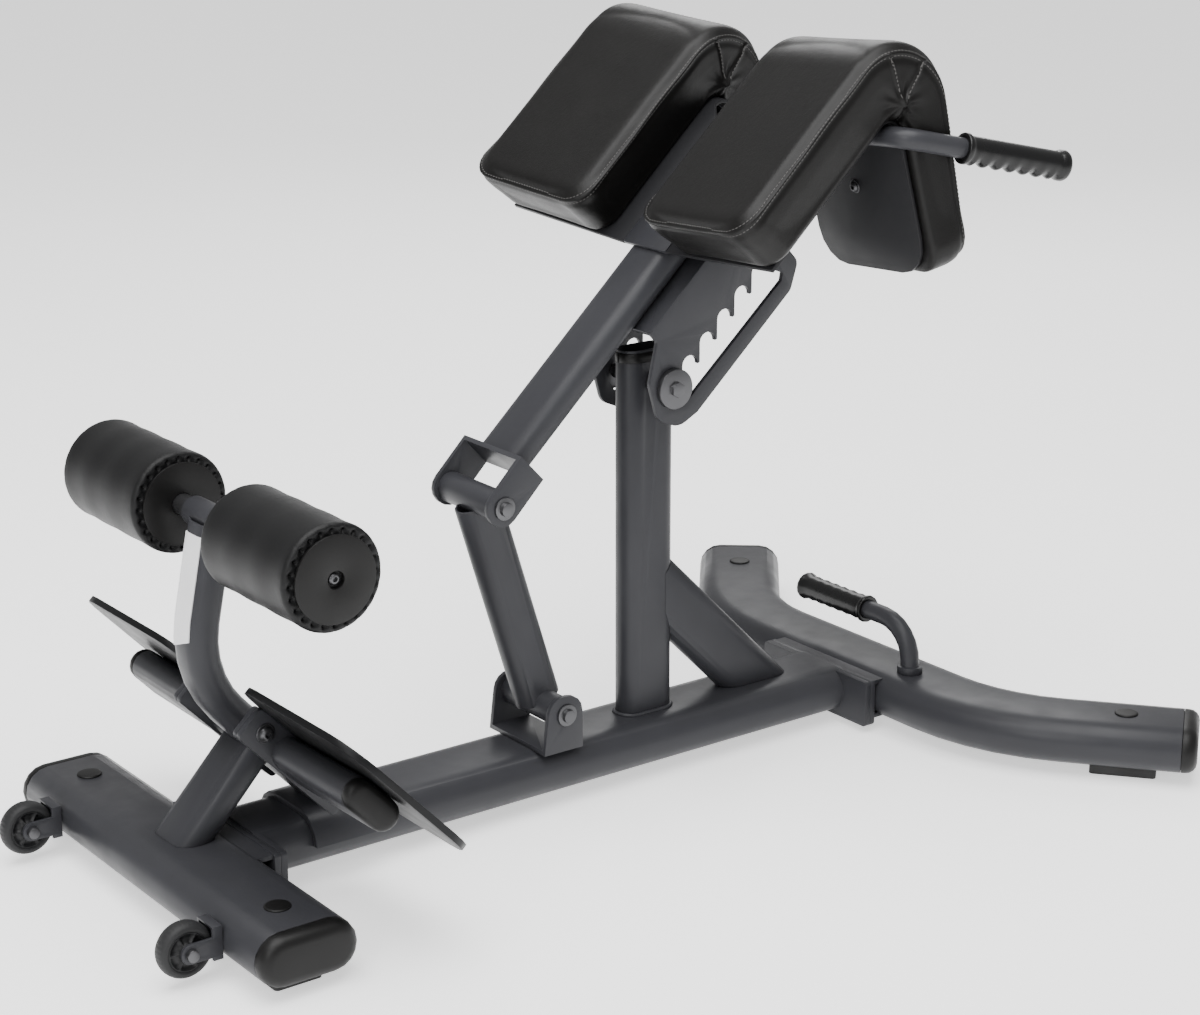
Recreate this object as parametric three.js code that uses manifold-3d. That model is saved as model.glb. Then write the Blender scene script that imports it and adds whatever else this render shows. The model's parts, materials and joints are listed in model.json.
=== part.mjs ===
// Roman chair (45 degree back extension bench) as an assembly of separate parts.
// Millimetres. +X points from the transport wheels to the hip pads, +Y to the user's left, +Z up.
// Inside the machine group X is measured from the centreline of the rear crossbar.
import * as THREE from "three";
import { mergeVertices } from "three/addons/utils/BufferGeometryUtils.js";
import Module from "manifold-3d";

const wasm = await Module();
wasm.setup();

// ---- Driving dimensions ----
const GAP = 0.3;
const OVERRUN = 2;
const FLOOR_TO_BAR = 15;

const BAR_WIDTH = 120;
const BAR_DEPTH = 60;
const BAR_WALL = 3;
const BAR_Z = FLOOR_TO_BAR + BAR_DEPTH / 2;
const BAR_TOP = FLOOR_TO_BAR + BAR_DEPTH;
const REAR_BAR_HALF = 279;
const FRONT_BAR_X = 1036;
const FRONT_END_X = 1193;
const FRONT_END_Y = 443;
const FRONT_SWEEP = THREE.MathUtils.degToRad(39.6);
const FRONT_BEND = 260;

const SLIM_WIDTH = 78;
const SLIM_DEPTH = 38;
const SLIM_WALL = 2.5;

const FLANGE = { thick: 8, half: 104, low: 10, high: 72, hole: 20 };
const REAR_FLANGE_X = 66;
const FRONT_FLANGE_X = 958;
const CAP_DEPTH = 20;
const FOOT = { length: 84, width: 58 };
const REAR_FOOT_Y = 226;
const FRONT_FOOT_BACK = 72;

const WHEEL = { x: -98, y: 196, z: 42.5, radius: 32, half: 12, bore: 4.6 };
const FORK = { arm: 4, inner: 13.5, height: 23 };

const COLUMN_X = 665.5;
const COLUMN_TOP = 552;
const LEAN = THREE.MathUtils.degToRad(43.2);

const PIVOT_LOW = [502, 122.6];
const PIN = [664, 510.6];
const ELBOW_BACK = 256;
const ELBOW_RISE = 93;
const ARM_RISE = 96;
const ARM_TOP_END = 345;
const EAR_HALF = 60;
const EAR_THICK = 6;
const BOLT_R = 6;
const SLEEVE_R = 19;

const NOTCH = { pitch: 37, count: 6, radius: 12, wall: 24 };
const PIN_R = 10;

const ROLLER = { x: 64, z: 440.6, radius: 60, inner: 76, outer: 259, disc: 49 };
const POST = { width: 60, depth: 40, cornerX: 25, cornerZ: 264, bend: 130 };

const STEP_TILT = THREE.MathUtils.degToRad(46.5);
const STEP_SWEEP = THREE.MathUtils.degToRad(4.8);
const STEP_S = -39;
const STEP_M = 196;
const STEP_REACH = 177;
const REAR_LEAN = THREE.MathUtils.degToRad(47);

const WING = { y: 58, rise: 121.6, tilt: THREE.MathUtils.degToRad(5.6) };
const PAD = { width: 225.5, flapWidth: 222, thick: 82, start: 100, edge: 25, flapLength: 188, tuck: 10 };
const PAD_BEND = { run: 351.5, turn: THREE.MathUtils.degToRad(-125) };
const PLATE_TURN = THREE.MathUtils.degToRad(-120.6);
const PLATE = { thick: 5, start: 114, corner: 369, bend: 20, turn: PLATE_TURN, drop: 208 };
const PLATE_SIDE = { near: 4, far: 199, round: 45, strip: -15.6 };

const HUB_HALF = 62;
const STEP_PLATE = 8;
const STEP_FLANGE = { along: [-125, 48], up: [174, 216] };
const FOOT_PLATE = { along: [-170, 56], out: [66, 319], thick: 8, corner: 48, lift: 216 };
const REAR_STRUT_X = 8.6;
const SADDLE = { reach: [142, 240], thick: 7 };
const SLEEVE = { half: 44, radius: 17, axle: 12.5 };
const AXLE_HALF = 254;
const LINK_WIDTH = 60;
const HANDLE = {
  inner: 14,
  corner: 227,
  tip: [457, 253, -204],
  bend: 28,
  grip: 148,
};
const CENTRE_X = 558.1;

const ARC = 4;
const BEND_STEPS = 5;

const X_AXIS = new THREE.Vector3(1, 0, 0);
const Y_AXIS = new THREE.Vector3(0, 1, 0);
const Z_AXIS = new THREE.Vector3(0, 0, 1);

// ---- Materials ----
function finish(color, roughness, metalness) {
  return new THREE.MeshStandardMaterial({ color, roughness, metalness });
}
const frameFinish = () => finish(0x46474b, 0.45, 0.3);
const rubberFinish = () => finish(0x1a1817, 0.7, 0);
const leatherFinish = () => finish(0x161514, 0.5, 0);
const tyreFinish = () => finish(0x4a4b4e, 0.6, 0);
const steelFinish = () => finish(0x303236, 0.35, 0.7);
const footplateFinish = () => finish(0x151618, 0.35, 0.4);

// ---- Geometry helpers ----
function solid(geometry) {
  const open = geometry.index ? geometry.toNonIndexed() : geometry;
  const bare = new THREE.BufferGeometry();
  bare.setAttribute("position", open.getAttribute("position"));
  const merged = mergeVertices(bare, 1e-4);
  const mesh = new wasm.Mesh({
    numProp: 3,
    vertProperties: merged.attributes.position.array,
    triVerts: new Uint32Array(merged.index.array),
  });
  return new wasm.Manifold(mesh);
}

function geometryOf(body) {
  const mesh = body.getMesh();
  const geometry = new THREE.BufferGeometry();
  geometry.setAttribute("position", new THREE.BufferAttribute(mesh.vertProperties, 3));
  geometry.setIndex(new THREE.BufferAttribute(mesh.triVerts, 1));
  geometry.computeVertexNormals();
  return geometry;
}

function vec(x, y, z) {
  return new THREE.Vector3(x, y, z);
}

// A rectangle with round corners; half circles join the flats when the radius is half the height.
function roundedOutline(width, height, radius = Math.min(width, height) / 2) {
  const points = [];
  const centres = [[1, 1], [-1, 1], [-1, -1], [1, -1]];
  centres.forEach(([sx, sy], quarter) => {
    for (let i = 0; i <= ARC; i++) {
      const angle = ((quarter + i / ARC) * Math.PI) / 2;
      const x = sx * (width / 2 - radius) + radius * Math.cos(angle);
      const y = sy * (height / 2 - radius) + radius * Math.sin(angle);
      const point = new THREE.Vector2(x, y);
      const last = points[points.length - 1];
      if (!last || last.distanceTo(point) > 1e-6) points.push(point);
    }
  });
  if (points[0].distanceTo(points[points.length - 1]) < 1e-6) points.pop();
  return points;
}

// A closed outline through corners [x, y, fillet radius].
function filleted(corners) {
  const points = [];
  corners.forEach(([x, y, radius = 0], i) => {
    const here = new THREE.Vector2(x, y);
    const [px, py] = corners[(i + corners.length - 1) % corners.length];
    const [nx, ny] = corners[(i + 1) % corners.length];
    const back = new THREE.Vector2(px, py).sub(here).normalize();
    const ahead = new THREE.Vector2(nx, ny).sub(here).normalize();
    if (radius === 0) {
      points.push(here);
      return;
    }
    const half = Math.acos(back.dot(ahead)) / 2;
    const centre = back.clone().add(ahead).setLength(radius / Math.sin(half)).add(here);
    const from = here.clone().addScaledVector(back, radius / Math.tan(half)).sub(centre).angle();
    const to = here.clone().addScaledVector(ahead, radius / Math.tan(half)).sub(centre).angle();
    const turn = Math.atan2(Math.sin(to - from), Math.cos(to - from));
    for (let step = 0; step <= ARC; step++) {
      const angle = from + (turn * step) / ARC;
      points.push(new THREE.Vector2(Math.cos(angle), Math.sin(angle)).multiplyScalar(radius).add(centre));
    }
  });
  return points;
}

// Joins matching rings of points into a closed body; face holds the flat outline that caps it.
function loft(rings, face) {
  const cap = THREE.ShapeUtils.triangulateShape(face, []);
  const corners = [];
  const push = (...points) => points.forEach((p) => corners.push(p.x, p.y, p.z));
  const last = rings[rings.length - 1];
  cap.forEach(([a, b, c]) => {
    push(rings[0][a], rings[0][c], rings[0][b]);
    push(last[a], last[b], last[c]);
  });
  for (let i = 0; i + 1 < rings.length; i++) {
    const count = face.length;
    for (let j = 0; j < count; j++) {
      const k = (j + 1) % count;
      push(rings[i][j], rings[i][k], rings[i + 1][k]);
      push(rings[i][j], rings[i + 1][k], rings[i + 1][j]);
    }
  }
  const geometry = new THREE.BufferGeometry();
  geometry.setAttribute("position", new THREE.Float32BufferAttribute(corners, 3));
  return geometry;
}

// Stations along straight runs joined by arcs.
function bentPath(corners, radius = 0, steps = BEND_STEPS) {
  let along = corners[1].clone().sub(corners[0]).normalize();
  const stations = [{ at: corners[0].clone(), along }];
  for (let i = 1; i + 1 < corners.length; i++) {
    const next = corners[i + 1].clone().sub(corners[i]).normalize();
    const turn = along.angleTo(next);
    const axis = along.clone().cross(next).normalize();
    const start = corners[i].clone().addScaledVector(along, -radius * Math.tan(turn / 2));
    const centre = start.clone().addScaledVector(axis.clone().cross(along), radius);
    for (let step = 0; step <= steps; step++) {
      const angle = (turn * step) / steps;
      const at = start.clone().sub(centre).applyAxisAngle(axis, angle).add(centre);
      stations.push({ at, along: along.clone().applyAxisAngle(axis, angle) });
    }
    along = next;
  }
  stations.push({ at: corners[corners.length - 1].clone(), along });
  return stations;
}

// Sweeps an outline along stations; its x axis stays on the across direction.
function sweep(outline, stations, across) {
  const rings = stations.map(({ at, along }) => {
    const side = across.clone().addScaledVector(along, -across.dot(along)).normalize();
    const up = along.clone().cross(side);
    return outline.map((p) => at.clone().addScaledVector(side, p.x).addScaledVector(up, p.y));
  });
  return loft(rings, outline);
}

// A tube's outer shape as a full solid, grown all round; used to cope its neighbours.
function bar(spec, grow = 0, overrun = 0) {
  const { path, across, width, depth, bend = 0, steps = BEND_STEPS } = spec;
  const stations = bentPath(path, bend, steps);
  const last = stations[stations.length - 1];
  stations[0].at.addScaledVector(stations[0].along, -overrun);
  last.at.addScaledVector(last.along, overrun);
  const outline = roundedOutline(width + 2 * grow, depth + 2 * grow);
  return solid(sweep(outline, stations, across));
}

function tube(spec, wall) {
  return bar(spec).subtract(bar(spec, -wall, OVERRUN));
}

// Turns a body built on local axes so that they lie along the given directions at an origin.
function place(geometry, origin, xDir, yDir) {
  const zDir = xDir.clone().cross(yDir);
  const basis = new THREE.Matrix4().makeBasis(xDir, yDir, zDir).setPosition(origin);
  return geometry.applyMatrix4(basis);
}

// A plate whose outline is in the XZ plane, between two Y positions.
function sidePlate(points, yFrom, yTo, turn = 0, yaw = 0) {
  const extrusion = new THREE.ExtrudeGeometry(new THREE.Shape(points), {
    depth: Math.abs(yTo - yFrom),
    bevelEnabled: false,
  });
  extrusion.rotateX(Math.PI / 2).translate(0, Math.max(yFrom, yTo), 0).rotateY(turn).rotateZ(yaw);
  return solid(extrusion);
}

function box(x, y, z) {
  const size = vec(x[1] - x[0], y[1] - y[0], z[1] - z[0]);
  const geometry = new THREE.BoxGeometry(size.x, size.y, size.z);
  return solid(geometry.translate((x[0] + x[1]) / 2, (y[0] + y[1]) / 2, (z[0] + z[1]) / 2));
}

// A round bar between two points.
function rod(from, to, radius, segments = 20) {
  const axis = to.clone().sub(from);
  const geometry = new THREE.CylinderGeometry(radius, radius, axis.length(), segments);
  const turn = new THREE.Quaternion().setFromUnitVectors(Y_AXIS, axis.clone().normalize());
  const middle = from.clone().add(to).multiplyScalar(0.5);
  return solid(geometry.applyQuaternion(turn).translate(middle.x, middle.y, middle.z));
}

function crossRod(x, z, yFrom, yTo, radius, segments = 20) {
  return rod(vec(x, yFrom, z), vec(x, yTo, z), radius, segments);
}

// A body of revolution about a line along Y; profile points are [radius, y].
function turned(profile, segments = 24) {
  const points = profile.map(([radius, y]) => new THREE.Vector2(radius, y));
  return solid(new THREE.LatheGeometry(points, segments));
}

// The biggest piece left after coping.
function largest(body) {
  return body.decompose().sort((a, b) => b.volume() - a.volume())[0];
}

// ---- Assembly ----
const machine = new THREE.Group();

function add(name, body, material, parent = machine) {
  const mesh = new THREE.Mesh(geometryOf(body), material);
  mesh.name = name;
  parent.add(mesh);
}

const SIDES = [["right", -1], ["left", 1]];

// ---- Base ----
const rearBar = {
  path: [vec(0, -REAR_BAR_HALF, BAR_Z), vec(0, REAR_BAR_HALF, BAR_Z)],
  across: X_AXIS,
  width: BAR_WIDTH,
  depth: BAR_DEPTH,
};
const mainBeam = {
  path: [vec(REAR_FLANGE_X + FLANGE.thick + GAP, 0, BAR_Z), vec(FRONT_FLANGE_X + FLANGE.thick, 0, BAR_Z)],
  across: Y_AXIS,
  width: BAR_WIDTH,
  depth: BAR_DEPTH,
};
const endRun = (FRONT_END_X - FRONT_BAR_X) / Math.sin(FRONT_SWEEP);
const kneeY = FRONT_END_Y - endRun * Math.cos(FRONT_SWEEP);
const frontBar = {
  path: [
    vec(FRONT_END_X, -FRONT_END_Y, BAR_Z),
    vec(FRONT_BAR_X, -kneeY, BAR_Z),
    vec(FRONT_BAR_X, kneeY, BAR_Z),
    vec(FRONT_END_X, FRONT_END_Y, BAR_Z),
  ],
  across: Z_AXIS,
  width: BAR_DEPTH,
  depth: BAR_WIDTH,
  bend: FRONT_BEND,
};

function flangePlate(x) {
  const points = roundedOutline(2 * FLANGE.half, FLANGE.high - FLANGE.low, 5);
  const shape = new THREE.Shape(points);
  const hole = new THREE.Path().absarc(0, 0, FLANGE.hole, 0, 2 * Math.PI, true);
  shape.holes.push(hole);
  const plate = new THREE.ExtrudeGeometry(shape, {
    depth: FLANGE.thick,
    bevelEnabled: false,
    curveSegments: 12,
  });
  const centre = vec(x, 0, (FLANGE.high + FLANGE.low) / 2);
  return solid(place(plate, centre, Y_AXIS.clone(), Z_AXIS.clone()));
}

// A short open channel between a crossbar and its flange plate.
function flangeBracket(plateX, nearX, farX, crossbar) {
  const reach = [Math.min(nearX, farX), Math.max(nearX, farX)];
  const half = FLANGE.half - 4;
  const top = box(reach, [-half, half], [FLANGE.high - 7, FLANGE.high - 1]);
  const bottom = box(reach, [-half, half], [FLANGE.low + 8, FLANGE.low + 14]);
  return flangePlate(plateX).add(top).add(bottom).subtract(bar(crossbar, GAP));
}

function addBase() {
  const frontPlateX = FRONT_FLANGE_X + FLANGE.thick + GAP;
  const beam = tube(mainBeam, BAR_WALL)
    .add(flangePlate(REAR_FLANGE_X + FLANGE.thick + GAP))
    .add(flangePlate(FRONT_FLANGE_X));
  add("main_beam", beam, frameFinish());
  add("rear_crossbar", tube(rearBar, BAR_WALL), frameFinish());
  add("front_crossbar", tube(frontBar, BAR_WALL), frameFinish());
  add("rear_bracket", flangeBracket(REAR_FLANGE_X, REAR_FLANGE_X + 1, 40, rearBar), frameFinish());
  const frontFlange = flangeBracket(frontPlateX, frontPlateX + 1, FRONT_BAR_X - 30, frontBar);
  add("front_bracket", frontFlange, frameFinish());
}

// Domed plastic cap with a spigot that fits inside the tube.
function endCap(width, height, wall, depth, dome) {
  const rings = [];
  const outline = roundedOutline(width, height);
  const steps = 4;
  const rim = (inset) => roundedOutline(width - 2 * inset, height - 2 * inset);
  const ring = (inset, z) => rim(inset).map((p) => vec(p.x, p.y, z));
  rings.push(ring(0, GAP));
  for (let i = 0; i <= steps; i++) {
    const angle = (i / steps) * (Math.PI / 2) * 0.98;
    rings.push(ring(dome * (1 - Math.cos(angle)), depth - dome * (1 - Math.sin(angle))));
  }
  const cap = solid(loft(rings, outline));
  const slack = 2 * (wall + 2 * GAP);
  const spigot = roundedOutline(width - slack, height - slack);
  const plug = solid(
    new THREE.ExtrudeGeometry(new THREE.Shape(spigot), { depth: 18, bevelEnabled: false })
      .translate(0, 0, -17),
  );
  return cap.add(plug);
}

function addCapsAndFeet() {
  const capBody = endCap(BAR_WIDTH, BAR_DEPTH, BAR_WALL, CAP_DEPTH, 14);
  const footShape = new THREE.Shape(roundedOutline(FOOT.width, FOOT.length, 5));
  const footDepth = { depth: FLOOR_TO_BAR - GAP, bevelEnabled: false };
  const footBody = solid(new THREE.ExtrudeGeometry(footShape, footDepth));
  SIDES.forEach(([side, sign]) => {
    const rearEnd = new THREE.Group();
    rearEnd.position.set(0, sign * REAR_BAR_HALF, BAR_Z);
    rearEnd.rotation.x = (-sign * Math.PI) / 2;
    machine.add(rearEnd);
    add("rear_cap_" + side, capBody, rubberFinish(), rearEnd);
    const rearFoot = new THREE.Group();
    rearFoot.position.set(0, sign * REAR_FOOT_Y, 0);
    machine.add(rearFoot);
    add("rear_foot_" + side, footBody, rubberFinish(), rearFoot);

    const swept = new THREE.Group();
    swept.position.set(FRONT_END_X, sign * FRONT_END_Y, 0);
    swept.rotation.z = -sign * FRONT_SWEEP;
    machine.add(swept);
    const frontEnd = new THREE.Group();
    frontEnd.position.z = BAR_Z;
    frontEnd.rotation.x = (-sign * Math.PI) / 2;
    swept.add(frontEnd);
    add("front_cap_" + side, capBody, rubberFinish(), frontEnd);
    const frontFoot = new THREE.Group();
    frontFoot.position.y = -sign * FRONT_FOOT_BACK;
    swept.add(frontFoot);
    add("front_foot_" + side, footBody, rubberFinish(), frontFoot);
  });
}

// ---- Transport wheels ----
function addWheels() {
  const { radius: r, half: h, bore } = WHEEL;
  const armR = FORK.height / 2;
  const edge = FORK.inner + FORK.arm;
  const armOutline = filleted([
    [-armR, -armR, armR - 0.01],
    [50, -armR],
    [50, armR],
    [-armR, armR, armR - 0.01],
  ]);
  let forkBody = box([26, 50], [-edge, edge], [-armR - 4, armR + 12]);
  [-1, 1].forEach((s) => {
    forkBody = forkBody.add(sidePlate(armOutline, s * FORK.inner, s * edge));
  });
  forkBody = forkBody
    .subtract(crossRod(0, 0, -FORK.inner, FORK.inner, r + 2, 32))
    .subtract(crossRod(0, 0, -40, 40, bore - 0.2));
  const wheelBody = turned([
    [bore, -h], [11, -h], [11, -h + 5], [19, -h + 5], [21, -h + 1], [28, -h + 1], [r - 1, -h + 4],
    [r, -h + 7], [r, h - 7], [r - 1, h - 4], [28, h - 1], [21, h - 1], [19, h - 5], [11, h - 5],
    [11, h], [bore, h], [bore, -h],
  ]);
  const headAt = edge + GAP;
  const axleBody = crossRod(0, 0, -headAt - 1, headAt + 1, 4)
    .add(crossRod(0, 0, -headAt - 6, -headAt, 7))
    .add(crossRod(0, 0, headAt, headAt + 6, 7));
  SIDES.forEach(([side, sign]) => {
    const unit = new THREE.Group();
    unit.position.set(WHEEL.x, sign * WHEEL.y, WHEEL.z);
    machine.add(unit);
    const crossbar = box([-BAR_WIDTH / 2 - GAP - WHEEL.x, 60], [-90, 90], [-60, 60]);
    add("wheel_fork_" + side, forkBody.subtract(crossbar), frameFinish(), unit);
    add("wheel_" + side, wheelBody, tyreFinish(), unit);
    add("wheel_axle_" + side, axleBody, steelFinish(), unit);
  });
}

// ---- Column, brace and lower clevis ----
const column = {
  path: [vec(COLUMN_X, 0, BAR_TOP + GAP), vec(COLUMN_X, 0, COLUMN_TOP)],
  across: X_AXIS,
  width: SLIM_WIDTH,
  depth: SLIM_DEPTH,
};

function addColumn() {
  const pinHole = crossRod(PIN[0], PIN[1], -60, 60, PIN_R + 0.2);
  add("column", tube(column, SLIM_WALL).subtract(pinHole), frameFinish());
  const brace = {
    path: [vec(COLUMN_X + 10, 0, 245), vec(COLUMN_X + 228, 0, 27)],
    across: Y_AXIS,
    width: SLIM_DEPTH,
    depth: SLIM_WIDTH,
  };
  const coped = tube(brace, SLIM_WALL).subtract(bar(column, GAP)).subtract(bar(mainBeam, GAP));
  add("column_brace", largest(coped), frameFinish());
}

// A U bracket with round ears, built about its pivot with the web at z = -reach.
function uBracket(reach, earR, baseFrom, baseTo) {
  const ear = filleted([
    [baseFrom, -reach],
    [baseTo, -reach],
    [earR, earR, earR * 0.93],
    [-earR, earR, earR * 0.93],
  ]);
  const inner = EAR_HALF - EAR_THICK;
  let bracket = box([baseFrom, baseTo], [-inner - 1, inner + 1], [-reach, -reach + EAR_THICK]);
  [-1, 1].forEach((s) => {
    bracket = bracket.add(sidePlate(ear, s * inner, s * EAR_HALF));
  });
  return bracket.subtract(crossRod(0, 0, -EAR_HALF - 1, EAR_HALF + 1, BOLT_R + 0.2));
}

// A bolt across both ears with a washer and a head on each side.
function pivotBolt() {
  let bolt = crossRod(0, 0, -EAR_HALF - 1, EAR_HALF + 1, BOLT_R - 0.2);
  [-1, 1].forEach((s) => {
    bolt = bolt
      .add(crossRod(0, 0, s * (EAR_HALF + GAP), s * (EAR_HALF + 3), 14))
      .add(crossRod(0, 0, s * (EAR_HALF + GAP), s * (EAR_HALF + 9), 8.5));
  });
  return bolt;
}

function addLowerClevis() {
  const seat = new THREE.Group();
  seat.position.set(PIVOT_LOW[0], 0, PIVOT_LOW[1]);
  machine.add(seat);
  add("lower_clevis", uBracket(PIVOT_LOW[1] - BAR_TOP - GAP, 24, -33, 25), frameFinish(), seat);
  add("lower_pivot_bolt", pivotBolt(), steelFinish(), seat);
}

// ---- Roller post, struts and saddle ----
const tiltAlong = vec(Math.cos(STEP_TILT), 0, -Math.sin(STEP_TILT));
const tiltUp = vec(Math.sin(STEP_TILT), 0, Math.cos(STEP_TILT));

function tilted(s, y, m) {
  return vec(0, y, 0).addScaledVector(tiltAlong, s).addScaledVector(tiltUp, m);
}

const post = {
  path: [vec(ROLLER.x - 3, 0, ROLLER.z), vec(POST.cornerX, 0, POST.cornerZ), tilted(STEP_S, 0, STEP_M)],
  across: Y_AXIS,
  width: POST.width,
  depth: POST.depth,
  bend: POST.bend,
};
const hub = {
  path: [tilted(STEP_S, -HUB_HALF, STEP_M), tilted(STEP_S, HUB_HALF, STEP_M)],
  across: tiltAlong,
  width: SLIM_WIDTH,
  depth: SLIM_DEPTH,
};
const rise = vec(Math.cos(REAR_LEAN), 0, Math.sin(REAR_LEAN));
const strutFoot = vec(REAR_STRUT_X, 0, BAR_TOP);
const rearStrut = {
  path: [strutFoot.clone().addScaledVector(rise, -40), strutFoot.clone().addScaledVector(rise, 150)],
  across: Y_AXIS,
  width: SLIM_WIDTH,
  depth: SLIM_DEPTH,
};
const frontStrut = {
  path: [tilted(STEP_S, 0, STEP_M), tilted(STEP_S + 190, 0, STEP_M)],
  across: Y_AXIS,
  width: SLIM_WIDTH,
  depth: SLIM_DEPTH,
};

function saddleShell(grow) {
  const [from, to] = SADDLE.reach;
  return bar({ ...mainBeam, path: [vec(from, 0, BAR_Z), vec(to, 0, BAR_Z)] }, grow);
}

function addRollerPost() {
  const { half, radius, axle } = SLEEVE;
  const sleeveRoom = crossRod(ROLLER.x, ROLLER.z, -half, half, radius + GAP, 32);
  const above = box([-40, 160], [-60, 60], [ROLLER.z, ROLLER.z + 80]);
  const postBody = tube(post, SLIM_WALL).subtract(sleeveRoom).subtract(above).subtract(bar(hub, GAP, 30));
  add("roller_post", largest(postBody), frameFinish());
  const sleeve = crossRod(ROLLER.x, ROLLER.z, -half, half, radius, 32);
  add("axle_sleeve", sleeve.subtract(crossRod(ROLLER.x, ROLLER.z, -90, 90, axle + 0.2, 32)), frameFinish());
  add("roller_axle", crossRod(ROLLER.x, ROLLER.z, -AXLE_HALF, AXLE_HALF, axle, 32), steelFinish());

  const hubBody = tube(hub, SLIM_WALL);
  let hubWithPlates = hubBody;
  SIDES.forEach(([, sign]) => {
    const outer = sign * (HUB_HALF + STEP_PLATE);
    const plate = sidePlate(stepFlangeOutline(), sign * HUB_HALF, outer, STEP_TILT);
    hubWithPlates = hubWithPlates.add(plate);
  });
  const opening = bar(hub, -SLIM_WALL, STEP_PLATE + OVERRUN);
  add("footrest_hub", hubWithPlates.subtract(opening), frameFinish());

  const rear = tube(rearStrut, SLIM_WALL)
    .subtract(bar(rearBar, GAP))
    .subtract(bar(post, GAP))
    .subtract(bar(hub, GAP, 30));
  add("rear_strut", largest(rear), frameFinish());
  const front = tube(frontStrut, SLIM_WALL)
    .subtract(bar(hub, GAP, 30))
    .subtract(saddleShell(SADDLE.thick + GAP));
  add("front_strut", largest(front), frameFinish());
  const below = box([0, 400], [-90, 90], [-20, BAR_Z]);
  add("saddle", saddleShell(SADDLE.thick).subtract(bar(mainBeam, GAP)).subtract(below), frameFinish());
}

// ---- Rollers ----
function addRollers() {
  const { inner, outer, radius, disc } = ROLLER;
  const foam = turned([
    [16.5, inner], [radius - 10, inner], [radius - 3, inner + 3], [radius, inner + 10],
    [radius, outer - 10], [radius - 3, outer - 3], [radius - 10, outer], [16.5, outer],
    [16.5, inner],
  ], 28);
  const core = turned([
    [12.8, inner - 4], [disc, inner - 4], [disc, inner - GAP], [16, inner - GAP], [16, outer + GAP],
    [disc, outer + GAP], [disc, outer + 4], [10, outer + 4], [10, outer - 2], [12.8, outer - 2],
    [12.8, inner - 4],
  ], 28);
  SIDES.forEach(([side, sign]) => {
    const unit = new THREE.Group();
    unit.position.set(ROLLER.x, 0, ROLLER.z);
    if (sign < 0) unit.rotation.z = Math.PI;
    machine.add(unit);
    add("roller_" + side, foam, leatherFinish(), unit);
    add("roller_core_" + side, core, rubberFinish(), unit);
  });
}

// ---- Footrests ----
function stepFlangeOutline() {
  const [from, to] = STEP_FLANGE.along;
  const [low, high] = STEP_FLANGE.up;
  return filleted([
    [from, low, 6],
    [to, low, 6],
    [to, high, 6],
    [from, high, 6],
  ]);
}

function addFootrests() {
  const { along, out, thick, corner, lift } = FOOT_PLATE;
  const start = HUB_HALF + STEP_PLATE + GAP;
  const tubeTop = STEP_M + SLIM_DEPTH / 2 + GAP;
  const shape = new THREE.Shape(roundedOutline(along[1] - along[0], out[1] - out[0], corner));
  SIDES.forEach(([side, sign]) => {
    const rest = new THREE.Group();
    rest.rotation.y = STEP_TILT;
    machine.add(rest);
    const swept = new THREE.Group();
    swept.position.set(STEP_S, sign * start, STEP_M);
    swept.rotation.z = sign * STEP_SWEEP;
    rest.add(swept);
    const spec = {
      path: [vec(0, sign * 4, 0), vec(0, sign * STEP_REACH, 0)],
      across: X_AXIS,
      width: SLIM_WIDTH,
      depth: SLIM_DEPTH,
    };
    const flange = stepFlangeOutline().map((p) => new THREE.Vector2(p.x - STEP_S, p.y - STEP_M));
    const flangePlate = sidePlate(flange, 0, sign * STEP_PLATE, 0, -sign * STEP_SWEEP);
    const inside = sidePlate(flange, -sign * 30, 0, 0, -sign * STEP_SWEEP);
    const body = tube(spec, SLIM_WALL).subtract(inside).add(flangePlate);
    add("footrest_tube_" + side, body, frameFinish(), swept);

    const cap = new THREE.Group();
    cap.position.set(0, sign * STEP_REACH, 0);
    cap.rotation.x = (-sign * Math.PI) / 2;
    swept.add(cap);
    add("footrest_cap_" + side, endCap(SLIM_WIDTH, SLIM_DEPTH, SLIM_WALL, 14, 10), rubberFinish(), cap);

    const plate = new THREE.ExtrudeGeometry(shape, { depth: thick, bevelEnabled: false });
    plate.translate((along[0] + along[1]) / 2, (sign * (out[0] + out[1])) / 2, lift);
    let footPlate = solid(plate);
    [125, 215].forEach((y) => {
      const reach = [sign * y - 20, sign * y + 20];
      footPlate = footPlate.add(box([STEP_S - 28, STEP_S + 6], reach, [tubeTop, lift + 1]));
    });
    add("foot_plate_" + side, footPlate, footplateFinish(), rest);
  });
}

// ---- Carry handle ----
const carryTube = {
  path: [vec(1028, -112, BAR_TOP + GAP), vec(1028, -112, 140), vec(1028, 70, 140)],
  across: X_AXIS,
  width: 25,
  depth: 25,
  bend: 52,
  steps: 6,
};

function addCarryHandle() {
  const collar = rod(vec(1028, -112, BAR_TOP + GAP), vec(1028, -112, BAR_TOP + 10), 17);
  add("carry_handle", bar(carryTube).add(collar).subtract(bar(carryTube, -2, OVERRUN)), frameFinish());
  const unit = new THREE.Group();
  unit.position.set(1028, -28, 140);
  machine.add(unit);
  add("carry_grip", grip(128), rubberFinish(), unit);
}

// A sleeve grip along +Y with finger swells and a flared closed end.
function grip(length) {
  const bore = 12.5 + GAP;
  const profile = [[bore, 0], [18, 0], [19, 4]];
  const swells = 6;
  for (let i = 0; i < swells; i++) {
    const at = 10 + (i * (length - 22)) / swells;
    const pitch = (length - 22) / swells;
    profile.push([15.6, at], [17, at + pitch / 2]);
  }
  profile.push([15.6, length - 12], [19, length - 4], [17.5, length], [0, length], [0, length - 5]);
  profile.push([bore, length - 5], [bore, 0]);
  return turned(profile, 16);
}

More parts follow.
